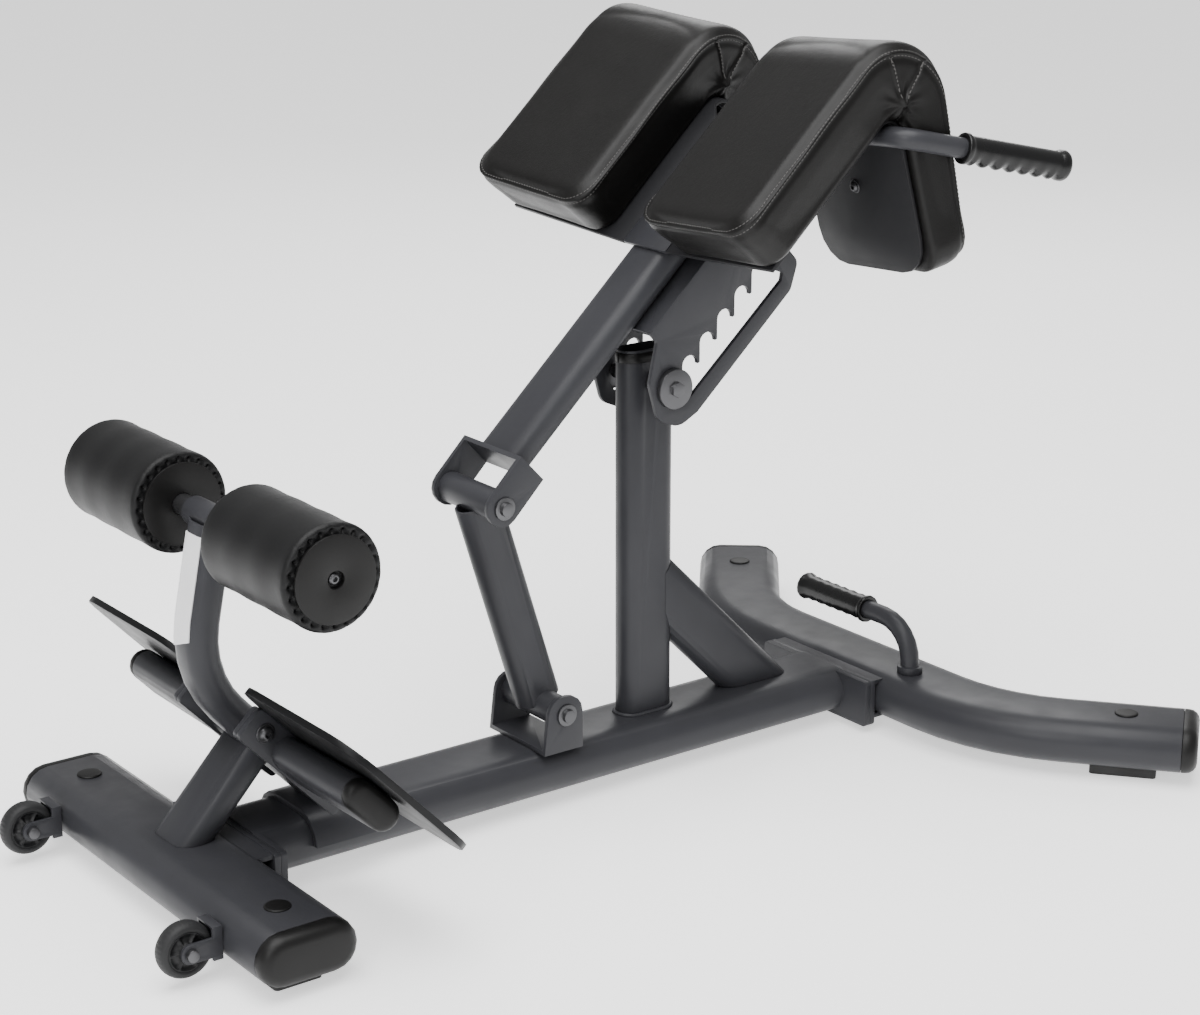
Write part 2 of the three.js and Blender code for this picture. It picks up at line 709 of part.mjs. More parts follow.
// ---- Link ----
function addLink() {
  const elbow = vec(-ELBOW_BACK, 0, ELBOW_RISE).applyAxisAngle(Y_AXIS, -LEAN);
  const run = elbow.add(vec(PIN[0] - PIVOT_LOW[0], 0, PIN[1] - PIVOT_LOW[1]));
  const length = run.length();
  const link = new THREE.Group();
  link.position.set(PIVOT_LOW[0], 0, PIVOT_LOW[1]);
  link.rotation.y = Math.atan2(run.x, run.z);
  machine.add(link);
  const spec = {
    path: [vec(0, 0, 6), vec(0, 0, length - 6)],
    across: X_AXIS,
    width: LINK_WIDTH,
    depth: SLIM_DEPTH,
  };
  const half = EAR_HALF - EAR_THICK - GAP;
  let body = tube(spec, SLIM_WALL);
  [0, length].forEach((z) => {
    body = body.add(crossRod(0, z, -half, half, SLEEVE_R, 28));
  });
  [0, length].forEach((z) => {
    body = body.subtract(crossRod(0, z, -half - 1, half + 1, BOLT_R, 24));
  });
  add("link", body, frameFinish(), link);
}

// ---- Swinging arm ----
const arm = new THREE.Group();
arm.position.set(PIN[0], 0, PIN[1]);
arm.rotation.y = -LEAN;
machine.add(arm);

function notchWindow() {
  const points = [];
  const down = new THREE.Vector2(-Math.sin(LEAN), -Math.cos(LEAN));
  const across = new THREE.Vector2(-down.y, down.x);
  for (let k = 0; k < NOTCH.count; k++) {
    const centre = new THREE.Vector2(k * NOTCH.pitch, 0);
    const drop = k ? NOTCH.wall : 12;
    const tip = centre.clone().addScaledVector(across, -NOTCH.radius).addScaledVector(down, drop);
    points.push(tip);
    for (let step = 0; step <= 8; step++) {
      const angle = Math.PI - (step / 8) * Math.PI;
      const x = NOTCH.radius * Math.cos(angle);
      const y = NOTCH.radius * Math.sin(angle);
      points.push(centre.clone().addScaledVector(across, x).addScaledVector(down, -y));
    }
  }
  const end = (NOTCH.count - 1) * NOTCH.pitch;
  points.push(new THREE.Vector2(end + 16, -14));
  points.push(new THREE.Vector2(end + 24, -30));
  points.push(new THREE.Vector2(end + 16, -36));
  points.push(new THREE.Vector2(14, -31));
  points.push(new THREE.Vector2(-8, -28));
  points.push(new THREE.Vector2(-20, -18));
  return points.reverse();
}

function addArm() {
  const armTube = {
    path: [vec(-197 + GAP, 0, ARM_RISE), vec(ARM_TOP_END, 0, ARM_RISE)],
    across: Y_AXIS,
    width: SLIM_WIDTH,
    depth: SLIM_DEPTH,
  };
  add("arm_tube", tube(armTube, SLIM_WALL), frameFinish(), arm);

  const elbow = new THREE.Group();
  elbow.position.set(-ELBOW_BACK, 0, ELBOW_RISE);
  elbow.rotation.y = -Math.PI / 2;
  arm.add(elbow);
  add("upper_clevis", uBracket(ELBOW_BACK - 197, 23, -20, 26), frameFinish(), elbow);
  add("upper_pivot_bolt", pivotBolt(), steelFinish(), elbow);

  const webTop = ARM_RISE - SLIM_DEPTH / 2 - GAP;
  const end = (NOTCH.count - 1) * NOTCH.pitch;
  const outline = filleted([
    [24, webTop, 4],
    [24, 60, 6],
    [-20, 30, 14],
    [-42, -12, 20],
    [-28, -44, 26],
    [4, -53, 10],
    [end + 18, -56, 14],
    [end + 50, -38, 12],
    [end + 50, webTop, 4],
  ]).reverse();
  const window = notchWindow();
  const inner = EAR_HALF - EAR_THICK;
  let bracket = box([24.5, end + 49.5], [-inner - 1, inner + 1], [webTop - EAR_THICK, webTop]);
  [-1, 1].forEach((s) => {
    bracket = bracket
      .add(sidePlate(outline, s * inner, s * EAR_HALF))
      .subtract(sidePlate(window, s * (inner - 2), s * (EAR_HALF + 2)));
  });
  add("notch_bracket", bracket, frameFinish(), arm);
}

function addPin() {
  const seat = new THREE.Group();
  seat.position.set(PIN[0], 0, PIN[1]);
  machine.add(seat);
  const inner = EAR_HALF - EAR_THICK - GAP;
  add("notch_pin", crossRod(0, 0, -inner, inner, PIN_R), steelFinish(), seat);
  SIDES.forEach(([side, sign]) => {
    const disc = crossRod(0, 0, sign * (EAR_HALF + GAP), sign * (EAR_HALF + 8), 25, 36);
    const head = crossRod(0, 0, sign * (EAR_HALF + 7), sign * (EAR_HALF + 13), 10, 6);
    add("pin_disc_" + side, disc.add(head), steelFinish(), seat);
  });
}

// ---- Hip pads ----
// Insets that round off an end over the given radius; outward ends count up, inward ends count down.
function endSteps(radius, outward) {
  const steps = [];
  for (let i = 0; i <= 4; i++) {
    const angle = ((outward ? i : 4 - i) / 4) * (Math.PI / 2);
    steps.push({ back: radius * (1 - Math.sin(angle)), inset: radius * (1 - Math.cos(angle)) });
  }
  return steps;
}

function heading(angle) {
  return vec(Math.cos(angle), 0, Math.sin(angle));
}

// The cushion follows the support plate below and a larger arc on its crown.
function padBody(sign) {
  const { width, flapWidth, thick, start, edge, flapLength, tuck } = PAD;
  const { bend, corner, drop, turn: plateTurn } = PLATE;
  const stations = [];
  endSteps(edge, false).forEach(({ back, inset }) => {
    const low = vec(start + tuck + back * 0.3, 0, 0);
    stations.push({ low, high: vec(start + back, 0, thick), inset, width });
  });
  const bendStart = corner - bend * Math.tan(-plateTurn / 2);
  const flapSpan = { low: heading(plateTurn), high: heading(PAD_BEND.turn) };
  const steps = 8;
  for (let i = 0; i <= steps; i++) {
    const lowAngle = (plateTurn * i) / steps;
    const highAngle = (PAD_BEND.turn * i) / steps;
    const low = vec(bendStart - bend * Math.sin(lowAngle), 0, bend * (Math.cos(lowAngle) - 1));
    const high = vec(PAD_BEND.run - thick * Math.sin(highAngle), 0, thick * Math.cos(highAngle));
    stations.push({ low, high, inset: 0, width: THREE.MathUtils.lerp(width, flapWidth, i / steps) });
  }
  const last = stations[stations.length - 1];
  const lowEnd = vec(corner, 0, 0).addScaledVector(flapSpan.low, drop + 2);
  const highEnd = last.high.clone().addScaledVector(flapSpan.high, flapLength);
  endSteps(edge * 0.85, true).forEach(({ back, inset }) => {
    const low = lowEnd.clone().addScaledVector(flapSpan.low, -back * 0.3);
    const high = highEnd.clone().addScaledVector(flapSpan.high, -back);
    stations.push({ low, high, inset, width: flapWidth });
  });
  const section = (depth, inset, across) => {
    const half = across / 2 - inset;
    const r = edge - inset * 0.95;
    return filleted([
      [-half + tuck - inset * 0.4, 0, 6],
      [half - tuck + inset * 0.4, 0, 6],
      [half, depth - inset, r],
      [-half, depth - inset, r],
    ]);
  };
  const middle = (sign * width) / 2;
  const rings = stations.map(({ low, high, inset, width: across }) => {
    const up = high.clone().sub(low);
    const outline = section(up.length(), inset, across);
    up.normalize();
    return outline.map((p) => vec(0, p.x + middle, 0).add(low).addScaledVector(up, p.y));
  });
  return solid(loft(rings, section(thick, 0, width)));
}

// A sheet that lies under the cushion, bends over the apex and ends in rounded corners.
function padSupport(sign) {
  const { thick, start, corner, bend, turn, drop } = PLATE;
  const { near, far, round, strip } = PLATE_SIDE;
  const middle = -GAP - thick / 2;
  const apex = vec(corner + middle * Math.tan(-turn / 2), 0, middle);
  const end = apex.clone().addScaledVector(heading(turn), drop);
  const path = bentPath([vec(start, 0, middle), apex, end], bend - GAP - thick / 2, 6);
  const stations = path.map(({ at, along }, i) => ({ at, along, from: i ? near : strip, to: far }));
  const last = stations.pop();
  const bendAt = stations[1].at.clone();
  const beforeBend = bendAt.clone().add(vec(-22, 0, 0));
  stations.splice(1, 0, { at: beforeBend, along: X_AXIS.clone(), from: strip, to: far });
  endSteps(round, true).forEach(({ back, inset }) => {
    const at = last.at.clone().addScaledVector(last.along, -back);
    stations.push({ at, along: last.along, from: near + inset, to: far - inset });
  });
  const rings = stations.map(({ at, along, from, to }) => {
    const up = along.clone().cross(Y_AXIS);
    const half = (to - from) / 2;
    const mid = (sign * (from + to)) / 2;
    const corners = [[-half, -1], [half, -1], [half, 1], [-half, 1]];
    return corners.map(([y, s]) => vec(0, mid + y, 0).add(at).addScaledVector(up, (s * thick) / 2));
  });
  const face = [[0, 0], [1, 0], [1, 1], [0, 1]].map(([x, y]) => new THREE.Vector2(x, y));
  return solid(loft(rings, face));
}

function addPads() {
  const low = ARM_RISE + SLIM_DEPTH / 2 + GAP;
  const strip = box([PLATE.start, ARM_TOP_END - 8], [-41.6, 41.6], [low, low + PLATE.thick]);
  add("pad_carrier", strip, frameFinish(), arm);
  SIDES.forEach(([side, sign]) => {
    const wing = new THREE.Group();
    wing.position.set(0, sign * WING.y, WING.rise);
    wing.rotation.x = sign * WING.tilt;
    arm.add(wing);
    add("pad_" + side, padBody(sign), leatherFinish(), wing);
    add("pad_support_" + side, padSupport(sign), frameFinish(), wing);
    const run = PLATE.corner - PLATE.bend * Math.tan(-PLATE.turn / 2);
    const [tipX, tipY, tipZ] = HANDLE.tip;
    const corner = vec(run, sign * HANDLE.corner, -PLATE.bend);
    const tip = vec(tipX, sign * tipY, tipZ);
    const spec = {
      path: [vec(run, sign * HANDLE.inner, -PLATE.bend), corner, tip],
      across: Z_AXIS,
      width: 25,
      depth: 25,
      bend: HANDLE.bend,
    };
    add("pad_handle_" + side, tube(spec, 2.5), frameFinish(), wing);
    const out = tip.clone().sub(corner).normalize();
    const sleeve = new THREE.Group();
    sleeve.position.copy(tip).addScaledVector(out, 6 - HANDLE.grip);
    sleeve.quaternion.setFromUnitVectors(Y_AXIS, out);
    wing.add(sleeve);
    add("handle_grip_" + side, grip(HANDLE.grip), rubberFinish(), sleeve);
  });
}

addBase();
addCapsAndFeet();
addWheels();
addColumn();
addLowerClevis();
addRollerPost();
addRollers();
addFootrests();
addCarryHandle();
addPin();
addLink();
addArm();
addPads();

const roman = new THREE.Group();
machine.position.x = -CENTRE_X;
roman.add(machine);

export default roman;
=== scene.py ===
"""Roman chair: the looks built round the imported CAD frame."""

import json
import math

import bmesh
import bpy
import numpy as np
from mathutils import Matrix, Vector
from mathutils.bvhtree import BVHTree


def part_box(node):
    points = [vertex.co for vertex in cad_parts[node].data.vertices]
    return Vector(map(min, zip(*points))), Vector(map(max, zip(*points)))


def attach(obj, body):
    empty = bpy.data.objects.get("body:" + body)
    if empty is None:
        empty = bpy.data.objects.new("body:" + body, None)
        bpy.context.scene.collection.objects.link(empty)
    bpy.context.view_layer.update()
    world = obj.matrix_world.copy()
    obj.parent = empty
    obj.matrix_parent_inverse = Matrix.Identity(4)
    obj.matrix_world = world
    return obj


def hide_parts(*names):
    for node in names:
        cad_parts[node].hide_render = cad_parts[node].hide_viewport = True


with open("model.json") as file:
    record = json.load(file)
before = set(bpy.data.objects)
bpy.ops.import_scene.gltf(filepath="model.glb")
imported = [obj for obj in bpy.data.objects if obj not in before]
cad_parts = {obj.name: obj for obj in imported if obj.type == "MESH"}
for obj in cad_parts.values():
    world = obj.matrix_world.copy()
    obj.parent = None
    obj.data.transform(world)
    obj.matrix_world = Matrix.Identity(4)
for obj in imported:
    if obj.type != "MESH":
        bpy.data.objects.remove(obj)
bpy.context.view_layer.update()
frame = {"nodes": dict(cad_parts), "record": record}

TAU = 2 * math.pi
X, Y, Z = Vector((1, 0, 0)), Vector((0, 1, 0)), Vector((0, 0, 1))
SIDES = (("right", -1), ("left", 1))

# ---- Shared dimensions of the cushions, in metres and degrees ----
ARM_LEAN = math.radians(43.2)
WING_OUT, WING_RISE, WING_TILT = 0.058, 0.1216, math.radians(5.6)
PAD_WIDTH, FLAP_WIDTH, PAD_THICK, PAD_START, PAD_EDGE = 0.2255, 0.222, 0.082, 0.100, 0.025
PAD_RUN, PAD_TURN, FLAP_LENGTH = 0.3515, math.radians(-125), 0.193
PLATE_CORNER, PLATE_BEND, PLATE_TURN, PLATE_DROP = 0.369, 0.020, math.radians(-120.6), 0.208
SEAM_HEIGHT = 0.0705
PINCH_SHARE, PINCH_HEIGHT = 0.46, 0.017
DART_SHARES = (0.27, 0.60)
CORNER_ROUND, BASE_ROUND, SIDE_TUCK, FLAP_SEAT = 0.038, 0.008, 0.010, 0.180
FOOT_START = PAD_START + 0.010
START_SHRINK, SWELL_CAP = 0.0030, 0.0060
VOXEL, CLOTH_FRAMES, SMOOTH_ROUNDS = 0.0045, 20, 60
PRESSURE, BENDING = 4, 4
STATIONS = 60  # sections along each of the cushion's three stretches


# ---- Materials ----
NOISE, CELLS = "ShaderNodeTexNoise", "ShaderNodeTexVoronoi"
NOISE_DETAIL = 3.0
NOISE_LOW, NOISE_HIGH = 0.3, 0.7  # the span of noise values that the ramps spread out
GLOSS_PATCH = 3  # gloss varies this much finer than the tint


def material(name, base, roughness, metallic=0.0, specular=0.5):
    made = bpy.data.materials.new(name)
    made.use_nodes = True
    shader = made.node_tree.nodes["Principled BSDF"]
    shader.inputs["Base Color"].default_value = (*base, 1)
    shader.inputs["Roughness"].default_value = roughness
    shader.inputs["Metallic"].default_value = metallic
    shader.inputs["Specular IOR Level"].default_value = specular
    return made, made.node_tree, shader


def texture(tree, kind, scale):
    node = tree.nodes.new(kind)
    where = tree.nodes.new("ShaderNodeTexCoord")
    tree.links.new(where.outputs["Object"], node.inputs["Vector"])
    node.inputs["Scale"].default_value = scale
    if kind == NOISE:
        node.inputs["Detail"].default_value = NOISE_DETAIL
    return node


def tint(tree, shader, base, spread, scale):
    """Mottles the base colour a little, darker and lighter."""
    noise = texture(tree, NOISE, scale)
    ramp = tree.nodes.new("ShaderNodeValToRGB")
    for element, share in zip(ramp.color_ramp.elements, (1 - spread, 1 + spread)):
        element.color = (*[c * share for c in base], 1)
    ramp.color_ramp.elements[0].position = NOISE_LOW
    ramp.color_ramp.elements[1].position = NOISE_HIGH
    tree.links.new(noise.outputs["Fac"], ramp.inputs["Fac"])
    tree.links.new(ramp.outputs["Color"], shader.inputs["Base Color"])


def gloss(tree, shader, low, high, scale):
    """Varies the roughness in patches."""
    noise = texture(tree, NOISE, scale)
    span = tree.nodes.new("ShaderNodeMapRange")
    span.inputs["From Min"].default_value = NOISE_LOW
    span.inputs["From Max"].default_value = NOISE_HIGH
    span.inputs["To Min"].default_value = low
    span.inputs["To Max"].default_value = high
    tree.links.new(noise.outputs["Fac"], span.inputs["Value"])
    tree.links.new(span.outputs["Result"], shader.inputs["Roughness"])


def bumps(tree, shader, layers):
    """Stacks bump layers: (texture kind, scale, strength, height in metres)."""
    last = None
    for kind, scale, strength, height in layers:
        source = texture(tree, kind, scale)
        bump = tree.nodes.new("ShaderNodeBump")
        bump.inputs["Strength"].default_value = strength
        bump.inputs["Distance"].default_value = height
        out = "Distance" if kind == CELLS else "Fac"
        tree.links.new(source.outputs[out], bump.inputs["Height"])
        if last:
            tree.links.new(last.outputs["Normal"], bump.inputs["Normal"])
        last = bump
    tree.links.new(last.outputs["Normal"], shader.inputs["Normal"])


def surface(name, base, rough, layers, metallic=0.0, spread=0.08, patch=9.0, specular=0.5):
    """A material with a mottled base colour, patchy roughness and bump layers."""
    made, tree, shader = material(name, base, rough[0], metallic, specular)
    tint(tree, shader, base, spread, patch)
    gloss(tree, shader, rough[0], rough[1], patch * GLOSS_PATCH)
    bumps(tree, shader, layers)
    return made


COAT = surface("satin_powder_coat", (0.0280, 0.0283, 0.0320), (0.34, 0.44),
               [(NOISE, 1400, 0.12, 0.0003), (NOISE, 300, 0.05, 0.0004)], specular=0.22)
LEATHER = surface("grained_leatherette", (0.0024, 0.0021, 0.0019), (0.38, 0.46),
                  [(CELLS, 900, 0.30, 0.0005), (NOISE, 160, 0.18, 0.0010)], spread=0.2,
                  specular=0.24)
FINE_LEATHER = surface("fine_leatherette", (0.0036, 0.0036, 0.0039), (0.44, 0.50),
                       [(CELLS, 1500, 0.25, 0.0004), (NOISE, 120, 0.12, 0.0008)],
                       spread=0.1, specular=0.22)
THREAD = surface("black_thread", (0.055, 0.053, 0.051), (0.45, 0.6),
                 [(NOISE, 2500, 0.4, 0.0003)])
PLASTIC = surface("moulded_plastic", (0.0032, 0.0030, 0.0029), (0.42, 0.5),
                  [(NOISE, 1100, 0.15, 0.0003)], spread=0.12, specular=0.25)
GRIP = surface("glossy_vinyl", (0.0030, 0.0030, 0.0032), (0.24, 0.32),
               [(NOISE, 500, 0.06, 0.0003)], spread=0.1, specular=0.34)
RUBBER = surface("soft_rubber", (0.014, 0.014, 0.014), (0.6, 0.75), [(NOISE, 900, 0.3, 0.0004)])
TYRE = surface("grey_tyre", (0.016, 0.0162, 0.0168), (0.5, 0.62), [(NOISE, 800, 0.25, 0.0004)],
               specular=0.25)
HUB = surface("dark_hub", (0.008, 0.0082, 0.0088), (0.4, 0.5), [(NOISE, 700, 0.15, 0.0003)],
              specular=0.3)
STEP = surface("black_coated_sheet", (0.0045, 0.0046, 0.0050), (0.36, 0.46),
               [(NOISE, 1200, 0.2, 0.0003)], specular=0.16)
STEEL = surface("dark_zinc_steel", (0.09, 0.09, 0.094), (0.26, 0.4),
                [(NOISE, 1500, 0.15, 0.0002)], metallic=0.85)
BADGE = surface("silver_plate", (0.70, 0.70, 0.71), (0.34, 0.42),
                [(NOISE, 900, 0.05, 0.0002)], spread=0.04)
# A darker copy of the satin powder coat: painted shade for the pad support plates, which sit in
# shadow under the cushions
COAT_PAINTED_SHADE = surface("satin_coat_painted_shade", (0.0150, 0.0150, 0.0165), (0.40, 0.50),
                      [(NOISE, 1400, 0.12, 0.0003)], specular=0.16)
SLOT_LOOKS = {
    "frame": COAT, "upholstery": LEATHER, "end_disc": PLASTIC, "cap_plastic": PLASTIC,
    "foot_rubber": RUBBER, "grip_rubber": GRIP, "wheel_tyre": TYRE, "plate_black": STEP,
    "hardware": STEEL,
}


# ---- Mesh helpers ----
def piece(name, points, faces, look, body, node=None, smooth=True):
    mesh = bpy.data.meshes.new(name)
    mesh.from_pydata([tuple(p) for p in points], [], faces)
    mesh.validate()
    mesh.polygons.foreach_set("use_smooth", [smooth] * len(mesh.polygons))
    obj = bpy.data.objects.new(name, mesh)
    bpy.context.scene.collection.objects.link(obj)
    return dress(obj, look, body, node)


def dress(obj, look, body, node=None):
    obj.data.materials.clear()
    obj.data.materials.append(look)
    if body:
        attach(obj, body)
    if node:
        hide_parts(node)
    return obj


def loft(rings, closed_ends=True):
    """Points and faces of a skin over equal closed rings, capped by fans."""
    count = len(rings[0])
    points = [Vector(p) for ring in rings for p in ring]
    faces = []
    for i in range(len(rings) - 1):
        for j in range(count):
            k = (j + 1) % count
            a, b = i * count, (i + 1) * count
            faces.append((a + j, a + k, b + k, b + j))
    if closed_ends:
        for first, flip in ((0, True), ((len(rings) - 1) * count, False)):
            centre = sum((points[first + j] for j in range(count)), Vector()) / count
            points.append(centre)
            hub = len(points) - 1
            for j in range(count):
                k = (j + 1) % count
                pair = (first + k, first + j) if flip else (first + j, first + k)
                faces.append((*pair, hub))
    return points, faces


def basis(axis):
    """Two unit vectors square to axis and to each other."""
    axis = axis.normalized()
    side = axis.cross(Z if abs(axis.z) < 0.9 else X).normalized()
    return side, axis.cross(side)


def lathe(centre, axis, profile, segments=40, shape=None):
    """Rings round axis. profile holds (radius, height) pairs; shape bends a radius by angle."""
    side, up = basis(axis)
    rings = []
    for index, (radius, height) in enumerate(profile):
        ring = []
        for j in range(segments):
            angle = TAU * j / segments
            r, h = (radius, height) if shape is None else shape(index, angle, radius, height)
            spoke = side * math.cos(angle) + up * math.sin(angle)
            ring.append(centre + axis * h + spoke * r)
        rings.append(ring)
    return rings


def hexagon(angle):
    """The share of a circle's radius that a hexagon reaches at that angle."""
    return math.cos(math.pi / 6) / math.cos((angle % (math.pi / 3)) - math.pi / 6)


WASHER_THICK = 0.0016


def bolt(name, centre, axis, radius, height, body, washer):
    """Button head with a hexagon socket, on a thin washer."""
    axis = Vector(axis).normalized()
    base = WASHER_THICK
    profile = [(washer, 0), (washer, 0.0012), (washer - 0.0005, base), (radius, base),
               (radius, base), (radius, base + height * 0.35),
               (radius * 0.9, base + height * 0.7), (radius * 0.68, base + height * 0.95),
               (radius * 0.52, base + height)]
    first_socket = len(profile)
    profile += [(radius * 0.47, base + height), (radius * 0.45, base + height * 0.35)]

    def socket(index, angle, r, h):
        return (r * hexagon(angle), h) if index >= first_socket else (r, h)

    rings = lathe(Vector(centre), axis, profile, 36, socket)
    points, faces = loft(rings)
    return piece(name, points, faces, STEEL, body, smooth=False)


def stadium(width, height, steps=10, corner=None):
    """Closed outline of a flat-oval tube, as (x, y) pairs."""
    r = min(width, height) / 2 if corner is None else corner
    out = []
    for cx, cy, start in ((1, 1, 0), (-1, 1, 90), (-1, -1, 180), (1, -1, 270)):
        for i in range(steps + 1):
            angle = math.radians(start + 90 * i / steps)
            out.append((cx * (width / 2 - r) + r * math.cos(angle),
                        cy * (height / 2 - r) + r * math.sin(angle)))
    return out


def resample(path, step, closed=True):
    """Evenly spaced points along a path."""
    points = [Vector(p) for p in path]
    if closed:
        points.append(points[0])
    lengths = [0.0]
    for a, b in zip(points, points[1:]):
        lengths.append(lengths[-1] + (b - a).length)
    count = max(3, round(lengths[-1] / step))
    out = []
    for i in range(count if closed else count + 1):
        at = lengths[-1] * i / count
        k = min(max(np.searchsorted(lengths, at) - 1, 0), len(points) - 2)
        span = lengths[k + 1] - lengths[k]
        out.append(points[k].lerp(points[k + 1], (at - lengths[k]) / span if span else 0.0))
    return out


BEAD_STEP, BEAD_SIDES = 0.0016, 8


def weld(name, path, body, radius):
    """A rippled weld bead laid along a closed path."""
    line = resample(path, BEAD_STEP)
    rings = []
    for i, at in enumerate(line):
        along = (line[(i + 1) % len(line)] - line[i - 1]).normalized()
        side, up = basis(along)
        swell = radius * (0.82 + 0.18 * abs(math.sin(i * 1.05)) + 0.06 * math.sin(i * 0.37))
        turns = [TAU * j / BEAD_SIDES for j in range(BEAD_SIDES)]
        rings.append([at + (side * math.cos(t) + up * math.sin(t)) * swell for t in turns])
    rings.append(rings[0])
    points, faces = loft(rings, closed_ends=False)
    return piece(name, points, faces, COAT, body)


def centre_of(node):
    low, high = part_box(node)
    return (low + high) / 2


# ---- CAD nodes: material by slot, with shading split at real edges ----
MERGE_WITHIN, EDGE_ROUND = 0.00002, 0.0007
ROUND_ABOVE, SPLIT_ABOVE = math.radians(38), math.radians(36)

for entry in frame["record"]["subparts"]:
    obj = frame["nodes"][entry["node"]]
    obj.data.materials.clear()
    obj.data.materials.append(SLOT_LOOKS[entry["material_slot"]])
    obj.data.polygons.foreach_set("use_smooth", [True] * len(obj.data.polygons))
    merge = obj.modifiers.new("merge", "WELD")
    merge.merge_threshold = MERGE_WITHIN
    round_off = obj.modifiers.new("soft_edges", "BEVEL")
    round_off.width = EDGE_ROUND
    round_off.segments = 2
    round_off.limit_method = "ANGLE"
    round_off.angle_limit = ROUND_ABOVE
    round_off.harden_normals = False
    split = obj.modifiers.new("sharp_edges", "EDGE_SPLIT")
    split.split_angle = SPLIT_ABOVE

# The pad supports get the darker copy of the frame coat, as painted shade under the cushions
# rather than a different paint
for side, _ in SIDES:
    frame["nodes"]["pad_support_" + side].data.materials[0] = COAT_PAINTED_SHADE

# ---- Cushions ----
PIN_AT = centre_of("notch_pin")
ARM = Matrix.Translation(PIN_AT) @ Matrix.Rotation(-ARM_LEAN, 4, "Y")


def wing(sign):
    """Places one side's cushion frame on the arm."""
    shift = Matrix.Translation((0, sign * WING_OUT, WING_RISE))
    return ARM @ shift @ Matrix.Rotation(sign * WING_TILT, 4, "X")


def heading(angle):
    return np.array([math.cos(angle), math.sin(angle)])


def stations():
    """The cushion's underside and crown lines in the wing's XZ plane, with the crown's run."""
    bend_start = PLATE_CORNER - PLATE_BEND * math.tan(-PLATE_TURN / 2)
    low, high = [], []
    for share in np.linspace(0, 1, STATIONS, endpoint=False):
        low.append([FOOT_START + (bend_start - FOOT_START) * share, 0])
        high.append([PAD_START + (PAD_RUN - PAD_START) * share, PAD_THICK])
    for share in np.linspace(0, 1, STATIONS, endpoint=False):
        a, b = PLATE_TURN * share, PAD_TURN * share
        low.append([bend_start - PLATE_BEND * math.sin(a), PLATE_BEND * (math.cos(a) - 1)])
        high.append([PAD_RUN - PAD_THICK * math.sin(b), PAD_THICK * math.cos(b)])
    low_end = np.array([bend_start - PLATE_BEND * math.sin(PLATE_TURN),
                        PLATE_BEND * (math.cos(PLATE_TURN) - 1)])
    high_end = np.array([PAD_RUN - PAD_THICK * math.sin(PAD_TURN), PAD_THICK * math.cos(PAD_TURN)])
    for share in np.linspace(0, 1, STATIONS):
        low.append(low_end + heading(PLATE_TURN) * FLAP_SEAT * share)
        high.append(high_end + heading(PAD_TURN) * FLAP_LENGTH * share)
    low, high = np.array(low), np.array(high)
    run = np.concatenate([[0], np.cumsum(np.linalg.norm(np.diff(high, axis=0), axis=1))])
    return low, high, run


LOW, HIGH, RUN = stations()
CROWN = RUN[-1]


def bent(flat, sign):
    """Flat cushion points (run along the crown, across, height), bent round the plate."""
    low = np.stack([np.interp(flat[:, 0], RUN, LOW[:, k]) for k in (0, 1)], axis=1)
    high = np.stack([np.interp(flat[:, 0], RUN, HIGH[:, k]) for k in (0, 1)], axis=1)
    xz = low + (high - low) * (flat[:, 2:3] / PAD_THICK)
    narrow = np.interp(flat[:, 0], RUN, np.linspace(1, FLAP_WIDTH / PAD_WIDTH, len(RUN)))
    narrow *= 1 - 2 * SIDE_TUCK / PAD_WIDTH * np.clip(1 - flat[:, 2] / PAD_THICK, 0, 1)
    y = sign * PAD_WIDTH / 2 + flat[:, 1] * narrow
    local = np.stack([xz[:, 0], y, xz[:, 1], np.ones(len(y))], axis=1)
    return (local @ np.array(wing(sign)).T)[:, :3]


def arrays(mesh):
    """Vertex places and normals."""
    co = np.empty(len(mesh.vertices) * 3)
    mesh.vertices.foreach_get("co", co)
    normal = np.empty(len(mesh.vertices) * 3)
    mesh.vertices.foreach_get("normal", normal)
    return co.reshape(-1, 3), normal.reshape(-1, 3)


def write(mesh, co):
    mesh.vertices.foreach_set("co", co.astype(np.float32).ravel())
    mesh.update()


def baked(obj):
    """Applies every modifier of obj."""
    graph = bpy.context.evaluated_depsgraph_get()
    mesh = bpy.data.meshes.new_from_object(obj.evaluated_get(graph))
    obj.modifiers.clear()
    obj.data = mesh
    return obj


def flat_block():
    """The cushion before it is bent: a block with rounded corners, crown and base."""
    bm = bmesh.new()
    bmesh.ops.create_cube(bm, size=1.0)
    for v in bm.verts:
        v.co = Vector(((v.co.x + 0.5) * CROWN, v.co.y * PAD_WIDTH, (v.co.z + 0.5) * PAD_THICK))
    upright = [e for e in bm.edges if abs((e.verts[0].co - e.verts[1].co).z) > 0.01]
    bmesh.ops.bevel(bm, geom=upright, offset=CORNER_ROUND, segments=12, affect="EDGES",
                    profile=0.5)
    for at, radius, parts in ((PAD_THICK, PAD_EDGE, 8), (0.0, BASE_ROUND, 4)):
        rim = [e for e in bm.edges
               if all(abs(v.co.z - at) < 1e-6 for v in e.verts) and len(e.link_faces) == 2
               and any(abs(f.normal.z) < 0.5 for f in e.link_faces)]
        bmesh.ops.bevel(bm, geom=rim, offset=radius, segments=parts, affect="EDGES", profile=0.5)
    mesh = bpy.data.meshes.new("flat_cushion")
    bm.to_mesh(mesh)
    bm.free()
    obj = bpy.data.objects.new("flat_cushion", mesh)
    bpy.context.scene.collection.objects.link(obj)
    remesh = obj.modifiers.new("remesh", "REMESH")
    remesh.mode = "VOXEL"
    remesh.voxel_size = VOXEL
    relax = obj.modifiers.new("relax", "SMOOTH")
    relax.factor, relax.iterations = 0.5, 6
    return baked(obj)


